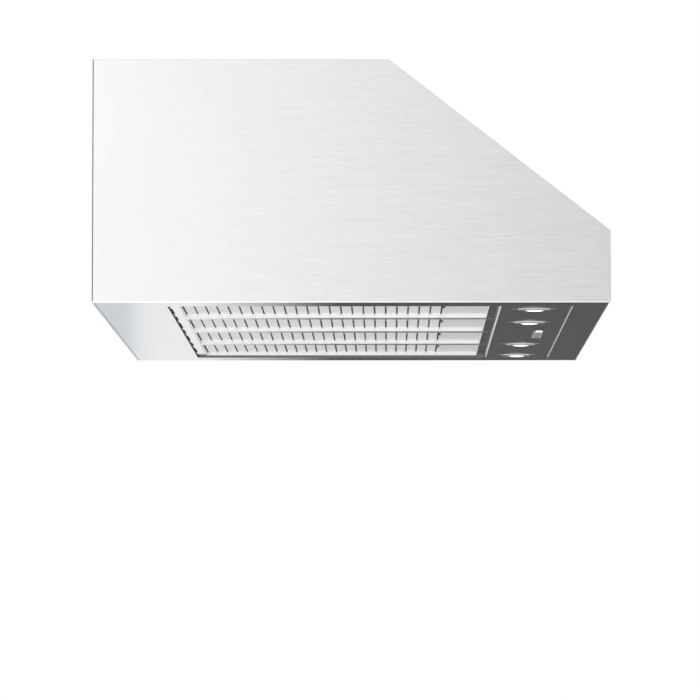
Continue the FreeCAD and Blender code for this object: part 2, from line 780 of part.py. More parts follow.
def duct_collar():
    """Socket for the duct, a step that stops the pipe, and the damper's tube below it."""
    body = new_body("duct_collar")
    step = "(-socket_depth)"
    foot = "(-damper_tube_depth)"
    ledge = "(-damper_level - flap_sheet / 2 - 0.4)"
    profile = [
        ("collar_radius", UNDER_TOP), ("collar_radius + collar_flange", UNDER_TOP),
        ("collar_radius + collar_flange", f"{UNDER_TOP} - collar_sheet"),
        ("collar_radius + collar_sheet", f"{UNDER_TOP} - collar_sheet"),
        ("collar_radius + collar_sheet", f"{step} - collar_sheet"),
        (f"{DAMPER_RADIUS} + collar_sheet", f"{step} - collar_sheet"),
        (f"{DAMPER_RADIUS} + collar_sheet", foot), (DAMPER_RADIUS, foot),
        (DAMPER_RADIUS, f"{ledge} - collar_sheet"),
        (f"{DAMPER_RADIUS} - damper_stop", f"{ledge} - collar_sheet"),
        (f"{DAMPER_RADIUS} - damper_stop", ledge), (DAMPER_RADIUS, ledge),
        (DAMPER_RADIUS, step), ("collar_radius", step),
    ]
    revolve(body, profile)
    hole = new_sketch(body, "YZ", f"-{DAMPER_RADIUS} - 5")
    draw_circle(hole, "0", "-damper_level", "rod_radius + rod_clearance")
    pocket(body, hole, f"2 * {DAMPER_RADIUS} + 10")


def along_x(feature):
    """Turn a Part cylinder so that its axis runs along X."""
    feature.Placement = FreeCAD.Placement(Vector(), FreeCAD.Rotation(Vector(0, 1, 0), 90))


def x_cylinder(name, radius, start, length, along, level):
    rod = doc.addObject("Part::Cylinder", name)
    along_x(rod)
    bind(rod, Radius=radius, Height=length, Placement__Base__x=start, Placement__Base__y=along,
         Placement__Base__z=level)
    return rod


def damper_rod():
    reach = f"({DAMPER_RADIUS} + collar_sheet + 1)"
    rod = x_cylinder("damper_rod", "rod_radius", f"-{reach}", f"2 * {reach}", "0", "-damper_level")
    keep(rod, "damper_rod")


def damper_flap(label, side, knuckle_starts):
    """Half-round flap on one side of the rod, with knuckles that turn on it."""
    edge = "(rod_radius + rod_clearance + knuckle_wall + 0.5)"
    disc = doc.addObject("Part::Cylinder", "disc")
    bind(disc, Radius=f"{DAMPER_RADIUS} - flap_clearance", Height="flap_sheet",
         Placement__Base__z="-damper_level - flap_sheet / 2")
    half = doc.addObject("Part::Box", "half")
    bind(half, Length=f"2 * {DAMPER_RADIUS}", Width=DAMPER_RADIUS, Height="4",
         Placement__Base__x=f"-{DAMPER_RADIUS}",
         Placement__Base__y=edge if side > 0 else f"-{edge} - {DAMPER_RADIUS}",
         Placement__Base__z="-damper_level - 2")
    leaf = doc.addObject("Part::Common", "leaf")
    leaf.Base = disc
    leaf.Tool = half
    parts = [leaf]
    bores = []
    for start in knuckle_starts:
        parts.append(x_cylinder("knuckle", "rod_radius + rod_clearance + knuckle_wall", start,
                                "knuckle_length", "0", "-damper_level"))
        web = doc.addObject("Part::Box", "web")
        bind(web, Length="knuckle_length", Width=f"{edge} + 2", Height="flap_sheet",
             Placement__Base__x=start, Placement__Base__y="0" if side > 0 else f"-{edge} - 2",
             Placement__Base__z="-damper_level - flap_sheet / 2")
        parts.append(web)
        bores.append(x_cylinder("bore", "rod_radius + rod_clearance", f"{start} - 1",
                                "knuckle_length + 2", "0", "-damper_level"))
    joined = doc.addObject("Part::MultiFuse", "joined")
    joined.Shapes = parts
    drill = doc.addObject("Part::MultiFuse", "drill")
    drill.Shapes = bores
    flap = doc.addObject("Part::Cut", label)
    flap.Base = joined
    flap.Tool = drill
    keep(flap, label)


# ---------------------------------------------------------------- blower


def scroll_space(grow):
    """The scroll's air space between the end plates, larger all round by a margin."""
    half = value(f"{BLOWER_HALF} - blower_sheet")
    top = -2 * value("casing_sheet")
    centre_y = value("wheel_from_duct")
    centre_z = value(WHEEL_LEVEL)
    start_radius = value("wheel_radius + scroll_gap")
    end_radius = half + centre_y
    start_angle = math.radians(30)
    turn = start_angle + math.pi
    foot_share = (start_angle + math.pi / 2) / turn
    foot_radius = start_radius + (end_radius - start_radius) * foot_share
    room = centre_z - value(f"{BLOWER_FOOT} + 2 * blower_sheet")
    squash = min(1, room / foot_radius)
    spiral = []
    steps = 14
    for step in range(steps + 1):
        share = step / steps
        angle = start_angle - turn * share - (1 - share) * grow / (2 * start_radius)
        radius = start_radius + (end_radius - start_radius) * share + grow
        drop = radius * math.sin(angle)
        if drop < 0:
            drop *= squash
        spiral.append(Vector(-half, centre_y + radius * math.cos(angle), centre_z + drop))
    curve = Part.BSplineCurve()
    curve.interpolate(spiral)
    top_rear = Vector(-half, half + grow, top)
    shoulder = Vector(-half, half + grow, -value("scroll_cutoff_drop") - grow / 2)
    top_front = Vector(-half, -half - grow, top)
    edges = [
        Part.makeLine(top_rear, shoulder),
        Part.makeLine(shoulder, spiral[0]),
        curve.toShape(),
        Part.makeLine(spiral[-1], top_front),
        Part.makeLine(top_front, top_rear),
    ]
    return Part.Face(Part.Wire(edges)).extrude(Vector(2 * half, 0, 0))


def scroll_wrap():
    """Bent strip round the wheel: a growing spiral that runs up into the outlet throat."""
    feature = doc.addObject("Part::Feature", "scroll_wrap")
    feature.Shape = scroll_space(value("blower_sheet")).cut(scroll_space(0))
    feature.Placement = FreeCAD.Placement()
    keep(feature, "scroll_wrap")


def bracket_feet():
    """Three fixing points round the inlet, as (y, z) from the wheel's axis."""
    feet = []
    for angle in (90, 210, 330):
        feet.append((f"(wheel_from_duct + {BRACKET_REACH} * cos({angle} deg))",
                     f"({WHEEL_LEVEL} + {BRACKET_REACH} * sin({angle} deg))"))
    return feet


def blower_side(label, sign):
    """End plate of the blower with its inlet and the flange that hangs it from the top panel."""
    body = new_body(label)
    half = f"({BLOWER_HALF} + blower_side_margin)"
    top = "-2 * casing_sheet"
    outline = [
        (f"-{half}", top), (f"-{half}", f"{BLOWER_FOOT} + blower_chamfer"),
        (f"-{half} + blower_chamfer", BLOWER_FOOT), (f"{half} - blower_chamfer", BLOWER_FOOT),
        (half, f"{BLOWER_FOOT} + blower_chamfer"), (half, top),
    ]
    level, _ = mirrored(sign, f"{BLOWER_HALF} - blower_sheet", BLOWER_HALF)
    inlet = ("wheel_from_duct", WHEEL_LEVEL, INLET_RADIUS)
    holes = [inlet]
    if sign > 0:
        for foot_y, foot_z in bracket_feet():
            holes.append((foot_y, foot_z, "screw_radius + screw_clearance"))
    slab(body, "YZ", level, "blower_sheet", polygons=[outline], circles=holes)
    lip = mirrored(sign, BLOWER_HALF, f"{BLOWER_HALF} + inlet_lip")
    rim = ("wheel_from_duct", WHEEL_LEVEL, f"{INLET_RADIUS} + blower_sheet")
    slab(body, "YZ", lip[0], "inlet_lip", circles=[inlet, rim])
    left, right = mirrored(sign, f"{BLOWER_HALF} - blower_sheet", f"{BLOWER_HALF} + blower_flange")
    screws = [(across, along, "screw_radius + screw_clearance")
              for across, along in blower_screw_places() if across.startswith(f"{sign} ")]
    flange = (left, right, f"-{half}", half)
    slab(body, "XY", f"{UNDER_TOP} - casing_sheet", "casing_sheet", boxes=[flange], circles=screws)


def blower_wheel():
    """Double inlet wheel: middle disc, hub, two end rings and forward blades."""
    body = new_body("blower_wheel")
    half = f"({BLOWER_HALF} - blower_sheet - wheel_clearance)"
    bore = ("0", "0", "shaft_radius")
    slab(body, "YZ", "-1", "2", circles=[("0", "0", "wheel_radius - blade_depth / 2"), bore])
    slab(body, "YZ", "-hub_length / 2", "hub_length", circles=[("0", "0", "hub_radius"), bore])
    blade = [
        ("wheel_radius - blade_depth", "-blade_sheet"), ("wheel_radius - 0.6", "2"),
        ("wheel_radius - 0.6", "2 + blade_sheet"), ("wheel_radius - blade_depth", "0"),
    ]
    vane = slab(body, "YZ", f"-{half}", f"2 * {half}", polygons=[blade])
    doc.recompute()
    ring = body.newObject("PartDesign::PolarPattern", "blades")
    ring.Originals = [vane]
    ring.Axis = (vane.Profile[0], ["N_Axis"])
    ring.Angle = 360
    bind(ring, Occurrences="blade_count")
    body.Tip = ring
    for level in (f"-{half}", f"{half} - 2"):
        rim = ("0", "0", "wheel_radius")
        slab(body, "YZ", level, "2", circles=[rim, ("0", "0", "wheel_radius - blade_depth + 1")])
    place_body(body, "0", "wheel_from_duct", WHEEL_LEVEL)


def motor_shaft():
    start = "(-hub_length / 2 - 4)"
    shaft = x_cylinder("motor_shaft", "shaft_radius", start, f"motor_start + shaft_depth - {start}",
                       "wheel_from_duct", WHEEL_LEVEL)
    keep(shaft, "motor_shaft")


def motor():
    """Motor can with a bearing boss and a bore that the shaft runs in."""
    face = "(motor_start + motor_boss)"
    can = x_cylinder("can", "motor_radius", face, f"{BRACKET_LEVEL} - {face}", "wheel_from_duct",
                     WHEEL_LEVEL)
    boss = x_cylinder("boss", "hub_radius - 1", "motor_start", "motor_boss + 2", "wheel_from_duct",
                      WHEEL_LEVEL)
    joined = doc.addObject("Part::Fuse", "joined")
    joined.Base = can
    joined.Tool = boss
    bore = x_cylinder("bore", "shaft_radius + shaft_clearance", "motor_start - 1", "shaft_depth + 4",
                      "wheel_from_duct", WHEEL_LEVEL)
    cut = doc.addObject("Part::Cut", "motor")
    cut.Base = joined
    cut.Tool = bore
    keep(cut, "motor")


def motor_bracket():
    """Three-armed spider that carries the motor in the right-hand inlet."""
    body = new_body("motor_bracket")
    centre = ("wheel_from_duct", WHEEL_LEVEL, "motor_radius - 6")
    slab(body, "YZ", BRACKET_LEVEL, "bracket_sheet", circles=[centre])
    half = "bracket_arm_width / 2"
    for angle in (90, 210, 330):
        along = f"cos({angle} deg)"
        up = f"sin({angle} deg)"
        corners = []
        tip = f"({BRACKET_REACH} + {half})"
        for reach, side in (("0", -1), (tip, -1), (tip, 1), ("0", 1)):
            corners.append((f"wheel_from_duct + {reach} * {along} - {side} * {half} * {up}",
                            f"{WHEEL_LEVEL} + {reach} * {up} + {side} * {half} * {along}"))
        slab(body, "YZ", BRACKET_LEVEL, "bracket_sheet", polygons=[corners])
    feet = []
    for foot_y, foot_z in bracket_feet():
        feet.append((foot_y, foot_z, half))
    slab(body, "YZ", BLOWER_HALF, "bracket_standoff", circles=feet)
    holes = new_sketch(body, "YZ", f"{BLOWER_HALF} - 1")
    for foot_y, foot_z in bracket_feet():
        draw_circle(holes, foot_y, foot_z, "screw_radius + screw_clearance")
    pocket(body, holes, "bracket_standoff + bracket_sheet + 2")


def motor_bolts():
    body = new_body("motor_bolts")
    head_level = f"({BRACKET_LEVEL} + bracket_sheet)"
    tip = f"({BLOWER_HALF} - blower_sheet - 2)"
    shanks = [(foot_y, foot_z, "screw_radius") for foot_y, foot_z in bracket_feet()]
    heads = [(foot_y, foot_z, "screw_head_radius") for foot_y, foot_z in bracket_feet()]
    slab(body, "YZ", head_level, "screw_head_height", circles=heads)
    slab(body, "YZ", tip, f"{head_level} - {tip}", circles=shanks)


def blower_screws():
    body = new_body("blower_screws")
    under = "(-2 * casing_sheet)"
    spots = blower_screw_places()
    slab(body, "XY", f"{under} - screw_head_height", "screw_head_height",
         circles=[(across, along, "screw_head_radius") for across, along in spots])
    slab(body, "XY", under, "2 * casing_sheet - 0.2",
         circles=[(across, along, "screw_radius") for across, along in spots])


# ---------------------------------------------------------------- electrical parts


def box_span(grow="0"):
    return (f"box_centre - box_length / 2 - {grow}", f"box_centre + box_length / 2 + {grow}",
            f"box_from_duct - box_breadth / 2 - {grow}", f"box_from_duct + box_breadth / 2 + {grow}")


def junction_box():
    """Wiring box under the top panel, open below."""
    body = new_body("junction_box")
    hole = ("box_centre", "box_from_duct", "gland_radius + screw_clearance")
    slab(body, "XY", f"{UNDER_TOP} - casing_sheet", "casing_sheet", boxes=[box_span()], circles=[hole])
    slab(body, "XY", f"{UNDER_TOP} - box_depth", "box_depth",
         boxes=[box_span(), box_span("-casing_sheet")])


def junction_box_cover():
    body = new_body("junction_box_cover")
    level = f"({UNDER_TOP} - box_depth - casing_sheet)"
    slab(body, "XY", level, "casing_sheet", boxes=[box_span("1")])
    inner = "(-casing_sheet - 0.3)"
    lip = "(-2 * casing_sheet - 0.3)"
    slab(body, "XY", f"{level} + casing_sheet", "6", boxes=[box_span(inner), box_span(lip)])


def cable_gland():
    """Bush in the cable entry of the top panel, with a nut inside the wiring box."""
    body = new_body("cable_gland")
    nut_top = f"({UNDER_TOP} - casing_sheet)"
    profile = [
        ("gland_bore", "0"), ("gland_radius", "0"), ("gland_radius", nut_top),
        ("gland_radius + 3", nut_top), ("gland_radius + 3", f"{nut_top} - 5"),
        ("gland_radius", f"{nut_top} - 5"), ("gland_radius", "-gland_length"),
        ("gland_bore", "-gland_length"),
    ]
    revolve(body, profile)
    place_body(body, "box_centre", "box_from_duct", "0")


def led_driver():
    body = new_body("led_driver")
    left = "(-box_centre - driver_length / 2)"
    low = "(box_from_duct - driver_breadth / 2)"
    case = (left, f"{left} + driver_length", low, f"{low} + driver_breadth")
    slab(body, "XY", f"{UNDER_TOP} - driver_depth", "driver_depth", boxes=[case])
    ears = (f"{left} - 10", f"{left} + driver_length + 10", f"{low} + 10",
            f"{low} + driver_breadth - 10")
    slab(body, "XY", f"{UNDER_TOP} - 2", "2", boxes=[ears])


def capacitor():
    body = new_body("capacitor")
    rear = f"({BACK} - casing_sheet)"
    left = f"({BLOWER_HALF} + 40)"
    block = (left, f"{left} + capacitor_length", f"{rear} - capacitor_breadth", rear)
    slab(body, "XY", f"{WHEEL_LEVEL} - capacitor_depth", "capacitor_depth", boxes=[block])


def route(points, share=0.45):
    """Straight runs joined by arcs that touch both runs, as one wire."""
    spots = [Vector(*point) for point in points]
    edges = []
    last = spots[0]
    for before, corner, after in zip(spots, spots[1:], spots[2:]):
        back = (before - corner)
        ahead = (after - corner)
        reach = share * min(back.Length, ahead.Length)
        back.normalize()
        ahead.normalize()
        turn = math.pi - back.getAngle(ahead)
        radius = reach / math.tan(turn / 2)
        begin = corner + back * reach
        finish = corner + ahead * reach
        inward = (back + ahead).normalize()
        centre = corner + inward * math.hypot(radius, reach)
        edges.append(Part.LineSegment(last, begin).toShape())
        edges.append(Part.Arc(begin, centre - inward * radius, finish).toShape())
        last = finish
    edges.append(Part.LineSegment(last, spots[-1]).toShape())
    return Part.Wire(edges)


def cable(points):
    """Round cable along a route of straight runs and arcs."""
    path = route(points)
    radius = value("cable_radius")
    heading = Vector(*points[1]) - Vector(*points[0])
    ring = Part.Wire(Part.makeCircle(radius, Vector(*points[0]), heading))
    solid = path.makePipeShell([ring], True, False)
    expected = math.pi * radius ** 2 * path.Length
    if abs(solid.Volume / expected - 1) > 0.02:
        raise RuntimeError("a cable's volume doesn't match its length")
    return solid


def wiring_harness():
    """Cables from the wiring box to the motor and the controls, and from the driver to the lamps."""
    straight = value("cable_straight")
    level = -value("cable_level")
    forward = -value("cable_forward")
    wall_x = value("box_centre - box_length / 2")
    wall_y = value("box_from_duct")
    wall_z = value(f"{UNDER_TOP} - box_depth / 2")
    motor_x = value(f"{BRACKET_LEVEL} + bracket_sheet")
    motor_y = value("wheel_from_duct")
    motor_z = value(WHEEL_LEVEL)
    to_motor = [
        (wall_x, wall_y, wall_z),
        (wall_x - straight, wall_y, wall_z),
        (motor_x + straight, motor_y, motor_z),
        (motor_x, motor_y, motor_z),
    ]
    board_x = value("control_length / 2")
    board_y = value(CONTROL_LINE)
    board_z = value(f"{BOTTOM} + casing_sheet + board_lift + board_thickness / 2")
    second_y = wall_y - value("box_breadth / 4")
    to_board = [
        (wall_x, second_y, wall_z),
        (wall_x - straight / 2, second_y, wall_z),
        (wall_x - straight, forward, level),
        (board_x + 2 * straight, board_y + straight / 3, board_z + straight / 2),
        (board_x + straight / 2, board_y, board_z),
        (board_x, board_y, board_z),
    ]
    driver_x = value("-box_centre + driver_length / 2")
    driver_y = value("box_from_duct")
    driver_z = value(f"{UNDER_TOP} - driver_depth / 2")
    lamp_x = value(lamp_places()[1])
    lamp_y = value(LAMP_LINE)
    lamp_z = value(f"{BOTTOM} + lamp_housing_lift + lamp_housing_height")
    to_lamps = [
        (driver_x, driver_y, driver_z),
        (driver_x + straight / 2, driver_y, driver_z),
        (driver_x + straight, forward, level / 2),
        (lamp_x, lamp_y + straight / 6, lamp_z + straight),
        (lamp_x, lamp_y, lamp_z + straight / 2),
        (lamp_x, lamp_y, lamp_z),
    ]
    feature = doc.addObject("Part::Feature", "wiring_harness")
    feature.Shape = Part.makeCompound([cable(points) for points in (to_motor, to_board, to_lamps)])
    feature.Placement = FreeCAD.Placement()
    keep(feature, "wiring_harness")


# ---------------------------------------------------------------- the whole hood


def build():
    side_panel("side_panel_left", -1)
    side_panel("side_panel_right", 1)
    front_canopy()
    top_panel()
    back_panel()
    underside_pan()
    lamp_panel()
    for index in range(FILTER_COUNT):
        centre = filter_centre(index)
        number = index + 1
        filter_frame(f"filter_frame_{number}", centre)
        filter_baffles(f"filter_baffles_{number}", centre)
        filter_end_plate(f"filter_end_plate_{number}", centre)
        filter_latch(f"filter_latch_{number}", centre)
    for number, place in enumerate(lamp_places(), start=1):
        lamp_trim(f"lamp_trim_{number}", place)
        lamp_lens(f"lamp_lens_{number}", place)
    lamp_housings()
    control_bezel()
    display_window()
    for index in range(KEY_COUNT):
        control_key(f"control_key_{index + 1}", index)
    control_board()
    duct_collar()
    damper_rod()
    damper_flap("damper_flap_front", -1, ("-60", "40"))
    damper_flap("damper_flap_rear", 1, ("-30", "10"))
    scroll_wrap()
    blower_side("blower_side_left", -1)
    blower_side("blower_side_right", 1)
    blower_wheel()
    motor_shaft()
    motor()
    motor_bracket()
    motor_bolts()
    blower_screws()
    junction_box()
    junction_box_cover()
    cable_gland()
    led_driver()
    capacitor()
    wiring_harness()


def check():
    doc.recompute()
    for item in doc.Objects:
        if "Invalid" in item.State or "Error" in item.State:
            raise RuntimeError(f"{item.Label} failed: {item.State}")
    for piece in pieces:
        if piece.Shape.isNull() or not piece.Shape.isValid() or not piece.Shape.Solids:
            raise RuntimeError(f"{piece.Label} has no valid solid")


def export():
    os.makedirs("parts", exist_ok=True)
    for piece in pieces:
        piece.Shape.exportStep(os.path.join("parts", f"{piece.Label}.step"))
        print(piece.Label, len(piece.Shape.Solids), round(piece.Shape.Volume))


build()
check()
export()
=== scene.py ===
import math

import bpy
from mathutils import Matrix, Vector


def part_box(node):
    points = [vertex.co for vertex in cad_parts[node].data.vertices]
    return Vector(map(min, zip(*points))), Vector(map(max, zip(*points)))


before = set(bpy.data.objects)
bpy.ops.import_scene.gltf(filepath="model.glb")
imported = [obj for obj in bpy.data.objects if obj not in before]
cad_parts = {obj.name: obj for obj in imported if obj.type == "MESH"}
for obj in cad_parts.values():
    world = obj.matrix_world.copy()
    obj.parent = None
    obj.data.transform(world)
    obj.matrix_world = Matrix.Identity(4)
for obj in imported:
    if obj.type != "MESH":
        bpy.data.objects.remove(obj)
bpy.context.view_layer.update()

# Looks of the under cabinet range hood: materials, studio light and camera.
# Metres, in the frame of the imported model: +Z up, front towards -Y, wall at +Y.

CASING_LOW, CASING_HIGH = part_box("side_panel_left")
LEFT_FACE = CASING_LOW.x
UNDERSIDE = CASING_LOW.z

# Camera: almost square on to the left side panel, a little below the underside.
CAMERA_AHEAD = 4.9346
CAMERA_FROM_ORIGIN = -0.160
CAMERA_BELOW = 0.4019
CAMERA_YAW = math.radians(0.484)
CAMERA_PITCH = math.radians(4.064)
CAMERA_LENS = 236.4
SENSOR = 36.0

# Brightest value a reflection card can hold.
CARD_TOP = 2.0

# Widths of the tinted bands along edges, and how dark they are: painted shade and painted highlight on
# the side panels, underside pan and lamp trims, and a dark border round the control bezel.
SIDE_REAR_PAINTED_SHADE = 0.0012
SIDE_LOW_PAINTED_HIGHLIGHT = 0.0014
PAN_REAR_PAINTED_SHADE = 0.0035
TRIM_PAINTED_SHADE_DEPTH = 0.00028
STRIP_BORDER = 0.0014
STRIP_END_BORDER = 0.004
BORDER_TINT = 0.08

# Finish of the sheet steel: smooth on level faces, satin on upright ones.
SMOOTH = 0.10
BRUSHED = 0.11
SATIN = 0.5
SOFT_EDGE = 0.0008
CRISP_EDGE = 0.0003

# The studio, measured down from the underside or out from the middle of the set.
FLOOR_DROP = 8.0
FLOOR_REACH = 60.0
CARD_DROP = 2.6
FAR_CARD_DROP = 0.25
LOW_CARD_DROP = 0.9
LOW_CARD_HALF = 1.6
LOW_CARD_GLOW = (2.0, 2.0, 2.0)


# ---------------------------------------------------------------- node helpers


def new_material(name):
    material = bpy.data.materials.new(name)
    material.use_nodes = True
    tree = material.node_tree
    tree.nodes.clear()
    shader = tree.nodes.new("ShaderNodeBsdfPrincipled")
    output = tree.nodes.new("ShaderNodeOutputMaterial")
    tree.links.new(shader.outputs["BSDF"], output.inputs["Surface"])
    return material, tree, shader


def grain_space(tree, stretch):
    """Object coordinates scaled so that noise comes out long along the brushing direction."""
    source = tree.nodes.new("ShaderNodeTexCoord")
    mapping = tree.nodes.new("ShaderNodeMapping")
    mapping.inputs["Scale"].default_value = stretch
    tree.links.new(source.outputs["Object"], mapping.inputs["Vector"])
    return mapping.outputs["Vector"]


def noise(tree, space, scale, detail=2.0, roughness=0.5):
    node = tree.nodes.new("ShaderNodeTexNoise")
    node.inputs["Scale"].default_value = scale
    node.inputs["Detail"].default_value = detail
    node.inputs["Roughness"].default_value = roughness
    tree.links.new(space, node.inputs["Vector"])
    return node.outputs["Fac"]


def ramp(tree, factor, low, high):
    """Map a noise of 0 to 1 onto a span of numbers."""
    node = tree.nodes.new("ShaderNodeMapRange")
    node.clamp = False
    node.inputs["From Min"].default_value = 0.25
    node.inputs["From Max"].default_value = 0.75
    node.inputs["To Min"].default_value = low
    node.inputs["To Max"].default_value = high
    tree.links.new(factor, node.inputs["Value"])
    return node.outputs["Result"]


def colour_mix(tree, factor, dark, light):
    node = tree.nodes.new("ShaderNodeMix")
    node.data_type = "RGBA"
    node.inputs["A"].default_value = (*dark, 1)
    node.inputs["B"].default_value = (*light, 1)
    tree.links.new(factor, node.inputs["Factor"])
    return node.outputs["Result"]


def bump(tree, height, strength, distance, edge_radius):
    """Bump over softened edges."""
    edge = tree.nodes.new("ShaderNodeBevel")
    edge.samples = 4
    edge.inputs["Radius"].default_value = edge_radius
    node = tree.nodes.new("ShaderNodeBump")
    node.inputs["Strength"].default_value = strength
    node.inputs["Distance"].default_value = distance
    tree.links.new(height, node.inputs["Height"])
    tree.links.new(edge.outputs["Normal"], node.inputs["Normal"])
    return node.outputs["Normal"]


BRUSHED_ALONG = {"x": (0.035, 1, 1), "y": (1, 0.035, 1), "z": (1, 1, 0.035)}


def levelness(tree):
    """1 on level faces, 0 on upright ones."""
    source = tree.nodes.new("ShaderNodeTexCoord")
    split = tree.nodes.new("ShaderNodeSeparateXYZ")
    tree.links.new(source.outputs["Normal"], split.inputs["Vector"])
    size = tree.nodes.new("ShaderNodeMath")
    size.operation = "ABSOLUTE"
    tree.links.new(split.outputs["Z"], size.inputs[0])
    return size.outputs[0]


def satin_walls_and_painted_tone(tree, shader, colour, level, upright, tint=0.97):
    """Give upright faces a painted tone, lighter as painted highlight or darker as painted shade, and a
    rougher finish than the level ones.
    """
    flat = levelness(tree)
    node = tree.nodes.new("ShaderNodeMapRange")
    node.inputs["To Min"].default_value = upright
    node.inputs["To Max"].default_value = level
    tree.links.new(flat, node.inputs["Value"])
    tree.links.new(node.outputs["Result"], shader.inputs["Roughness"])
    upright_painted_mix = tree.nodes.new("ShaderNodeMix")
    upright_painted_mix.data_type = "RGBA"
    upright_painted_mix.inputs["A"].default_value = (tint, tint, tint, 1)
    tree.links.new(colour, upright_painted_mix.inputs["B"])
    tree.links.new(flat, upright_painted_mix.inputs["Factor"])
    tree.links.new(upright_painted_mix.outputs["Result"], shader.inputs["Base Color"])


def edge_bands_and_painted_light(tree, colour, bands):
    """Tint narrow bands along a panel's edges: (axis, limit, beyond, tint) each; on the side panels,
    underside pan and lamp trims these bands are painted shade and painted highlight.
    """
    source = tree.nodes.new("ShaderNodeTexCoord")
    split = tree.nodes.new("ShaderNodeSeparateXYZ")
    tree.links.new(source.outputs["Object"], split.inputs["Vector"])
    for axis, limit, beyond, tint in bands:
        test = tree.nodes.new("ShaderNodeMath")
        test.operation = beyond
        test.inputs[1].default_value = limit
        tree.links.new(split.outputs[axis], test.inputs[0])
        mix = tree.nodes.new("ShaderNodeMix")
        mix.data_type = "RGBA"
        mix.inputs["B"].default_value = (tint, tint, tint, 1)
        tree.links.new(colour, mix.inputs["A"])
        tree.links.new(test.outputs[0], mix.inputs["Factor"])
        colour = mix.outputs["Result"]
    return colour


def streaks_growing_towards_front(tree, streaks, rear, front, least, most):
    """Streaks whose strength grows from a rear Y to a front Y, about their middle value."""
    source = tree.nodes.new("ShaderNodeTexCoord")
    split = tree.nodes.new("ShaderNodeSeparateXYZ")
    tree.links.new(source.outputs["Object"], split.inputs["Vector"])
    strength = tree.nodes.new("ShaderNodeMapRange")
    strength.inputs["From Min"].default_value = rear
    strength.inputs["From Max"].default_value = front
    strength.inputs["To Min"].default_value = least
    strength.inputs["To Max"].default_value = most
    tree.links.new(split.outputs["Y"], strength.inputs["Value"])
    middle = tree.nodes.new("ShaderNodeMath")
    middle.operation = "SUBTRACT"
    middle.inputs[1].default_value = 0.5
    tree.links.new(streaks, middle.inputs[0])
    scaled = tree.nodes.new("ShaderNodeMath")
    scaled.operation = "MULTIPLY_ADD"
    scaled.inputs[2].default_value = 0.5
    tree.links.new(middle.outputs[0], scaled.inputs[0])
    tree.links.new(strength.outputs["Result"], scaled.inputs[1])
    return scaled.outputs[0]


def brushed_steel(name, along, tint, roughness=0.30, depth=0.00002, contrast=0.05, edge_radius=0.0005,
                  upright=None, streak_growth=None, bands=(), upright_painted_tone=0.97):
    """Satin steel with fine scratches along one axis, cloudy rolling marks and softened edges; edge
    bands and the upright tone add painted shade and painted highlight.
    """
    material, tree, shader = new_material(name)
    space = grain_space(tree, BRUSHED_ALONG[along])
    fine = noise(tree, space, 750, 3, 0.65)
    coarse = noise(tree, space, 220, 2, 0.5)
    cloud = noise(tree, grain_space(tree, (1, 1, 1)), 5, 3, 0.5)
    streaks = tree.nodes.new("ShaderNodeMath")
    streaks.operation = "MULTIPLY_ADD"
    streaks.inputs[1].default_value = 0.8
    tree.links.new(fine, streaks.inputs[0])
    scaled = tree.nodes.new("ShaderNodeMath")
    scaled.operation = "MULTIPLY"
    scaled.inputs[1].default_value = 0.2
    tree.links.new(coarse, scaled.inputs[0])
    tree.links.new(scaled.outputs[0], streaks.inputs[2])
    dark = tuple(channel * (1 - contrast) for channel in tint)
    light = tuple(min(1, channel * (1 + contrast)) for channel in tint)
    shade = streaks.outputs[0]
    if streak_growth:
        shade = streaks_growing_towards_front(tree, shade, *streak_growth)
    colour = edge_bands_and_painted_light(tree, colour_mix(tree, shade, dark, light), bands)
    if upright:
        satin_walls_and_painted_tone(tree, shader, colour, roughness, upright, upright_painted_tone)
    else:
        tree.links.new(colour, shader.inputs["Base Color"])
        tree.links.new(ramp(tree, cloud, roughness * 0.85, roughness * 1.2), shader.inputs["Roughness"])
    tree.links.new(bump(tree, streaks.outputs[0], 0.5, depth, edge_radius), shader.inputs["Normal"])
    shader.inputs["Metallic"].default_value = 1.0
    return material


def mottled(name, dark, light, roughness, metallic=0.0, scale=40, depth=0.00002, coat=0.0, bands=()):
    """Sheet, casting or moulding with a fine all-over texture."""
    material, tree, shader = new_material(name)
    space = grain_space(tree, (1, 1, 1))
    broad = noise(tree, space, scale, 4, 0.6)
    fine = noise(tree, space, scale * 40, 2, 0.5)
    colour = edge_bands_and_painted_light(tree, colour_mix(tree, ramp(tree, broad, 0, 1), dark, light), bands)
    tree.links.new(colour, shader.inputs["Base Color"])
    tree.links.new(ramp(tree, broad, roughness * 0.85, roughness * 1.15), shader.inputs["Roughness"])
    tree.links.new(bump(tree, fine, 0.4, depth, 0.0004), shader.inputs["Normal"])
    shader.inputs["Metallic"].default_value = metallic
    shader.inputs["Coat Weight"].default_value = coat
    return material


